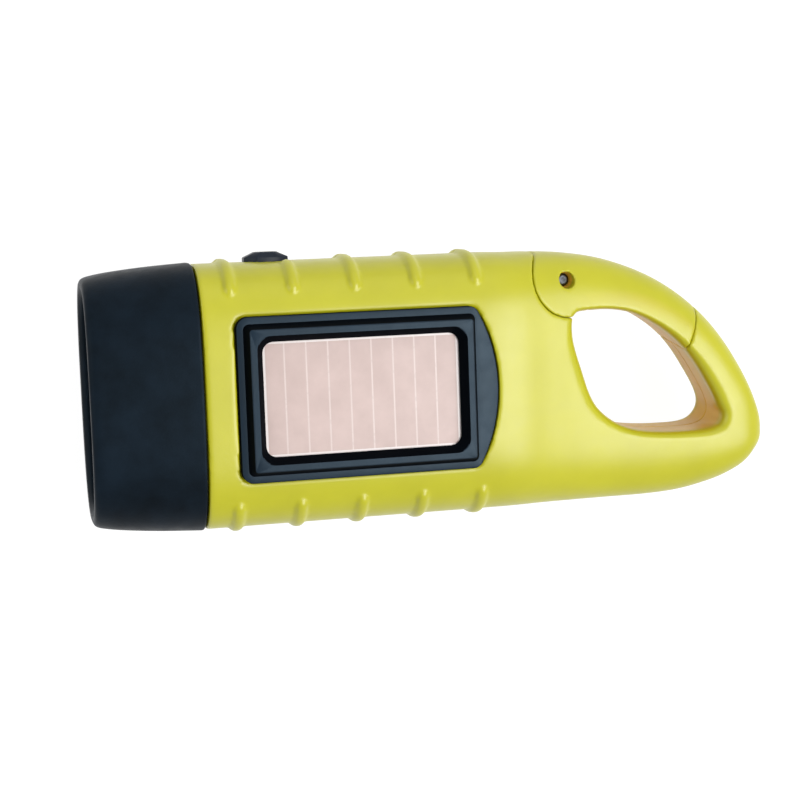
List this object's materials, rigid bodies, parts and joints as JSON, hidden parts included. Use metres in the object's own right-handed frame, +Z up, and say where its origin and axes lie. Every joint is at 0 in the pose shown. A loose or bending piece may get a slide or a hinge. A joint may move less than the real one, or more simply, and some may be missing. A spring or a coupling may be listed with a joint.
{
  "type": "hand crank flashlight",
  "caption": "Hand crank flashlight with a solar panel on its face, a folding crank on its back and a carabiner loop with a hinged gate.",
  "frame": {"origin": "under the middle of the flashlight's bounding box, on the plane that it rests on", "axes": "+X from the lens rim to the carabiner loop, +Y towards the push button and the gate, +Z up through the solar panel"},
  "size_m": [0.137, 0.0538, 0.0338],
  "materials": {
    "head_black": "blue-black plastic with a fine sheen",
    "lens_clear": "clear smooth plastic",
    "reflector_mirror": "mirror coating",
    "led_clear": "clear epoxy, faintly warm",
    "board_green": "green lacquered board",
    "seal_rubber": "soft black rubber",
    "body_yellow": "yellow plastic, satin to gloss",
    "gate_yellow": "yellow plastic, satin to gloss",
    "steel": "plain zinc-coated steel",
    "frame_black": "black plastic with a soft sheen",
    "panel_beige": "clear coat over beige cell strips",
    "foam": "dark foam pad",
    "button_black": "black plastic with a soft sheen",
    "nylon_white": "plain white nylon",
    "switch_black": "plain black plastic",
    "crank_black": "black plastic with a fine grain",
    "bush_brass": "plain turned brass",
    "knob_black": "black plastic with a fine grain",
    "magnet_grey": "nickel-coated magnet",
    "copper": "enamelled copper winding",
    "core_steel": "plain stamped steel",
    "cell_wrap": "green shrink wrap"
  },
  "bodies": {
    "body": {"head_bezel": "head_black", "lens": "lens_clear", "reflector": "reflector_mirror", "led_1": "led_clear", "led_2": "led_clear", "led_3": "led_clear", "led_board": "board_green", "head_seal": "seal_rubber", "solar_side_shell": "body_yellow", "crank_side_shell": "body_yellow", "gate_pin": "steel", "gate_spring": "steel", "solar_frame": "frame_black", "solar_panel": "panel_beige", "panel_pad": "foam", "button_spring": "steel", "switch_body": "switch_black", "crank_bush": "bush_brass", "stator_coil": "copper", "stator_core": "core_steel", "idler_axle": "steel", "hub_axle": "steel", "main_board": "board_green", "battery_cell_1": "cell_wrap", "battery_cell_2": "cell_wrap", "battery_cell_3": "cell_wrap", "shell_screw_1": "steel", "shell_screw_2": "steel", "shell_screw_3": "steel", "shell_screw_4": "steel"},
    "crank": {"crank_arm": "crank_black", "crank_hub_cap": "crank_black", "crank_screw": "steel", "crank_shaft": "steel", "crank_gear": "nylon_white", "knob_hinge_pin": "steel"},
    "folding_post": {"knob_post": "steel"},
    "turning_knob": {"knob": "knob_black"},
    "idler": {"idler_gear": "nylon_white"},
    "speed_wheel": {"speed_gear": "nylon_white"},
    "rotor": {"rotor_pinion": "nylon_white", "rotor_magnet": "magnet_grey"},
    "gate": {"loop_gate": "gate_yellow"},
    "button": {"push_button": "button_black", "switch_plunger": "nylon_white"}
  },
  "joints": [
    {"name": "crank_turn", "type": "hinge", "parent": "body", "child": "crank", "pos_m": [0.00264, -0.0005, 0.0084], "axis": [0, 0, 1], "continuous": true},
    {"name": "idler_turn", "type": "hinge", "parent": "body", "child": "idler", "pos_m": [-0.01811, -0.0005, 0.0136], "axis": [0, 0, 1], "continuous": true},
    {"name": "speed_turn", "type": "hinge", "parent": "body", "child": "speed_wheel", "pos_m": [0.00264, -0.0005, 0.0169], "axis": [0, 0, 1], "continuous": true},
    {"name": "rotor_turn", "type": "hinge", "parent": "body", "child": "rotor", "pos_m": [-0.01811, -0.0005, 0.021], "axis": [0, 0, 1], "continuous": true},
    {"name": "knob_fold", "type": "hinge", "parent": "crank", "child": "folding_post", "pos_m": [-0.0341, -0.0005, 0.0032], "axis": [0, 1, 0], "range_deg": [0, 90]},
    {"name": "knob_spin", "type": "hinge", "parent": "folding_post", "child": "turning_knob", "pos_m": [-0.0221, -0.0005, 0.0032], "axis": [1, 0, 0], "continuous": true},
    {"name": "gate_swing", "type": "hinge", "parent": "body", "child": "gate", "pos_m": [0.02562, 0.0191, 0.0163], "axis": [0, 0, -1], "range_deg": [0, 25], "stiffness_Nm_per_rad": 0.05, "springref_deg": -5.73},
    {"name": "button_press", "type": "slide", "parent": "body", "child": "button", "axis": [0, -1, 0], "range_m": [0, 0.0012], "stiffness_N_per_m": 900, "springref_m": -0.0006, "deforming": ["button_spring"]}
  ],
  "couplings": [
    {"joint": "idler_turn", "follows": "crank_turn", "ratio": -3.2},
    {"joint": "speed_turn", "follows": "crank_turn", "ratio": 10.24},
    {"joint": "rotor_turn", "follows": "crank_turn", "ratio": -32.768}
  ]
}
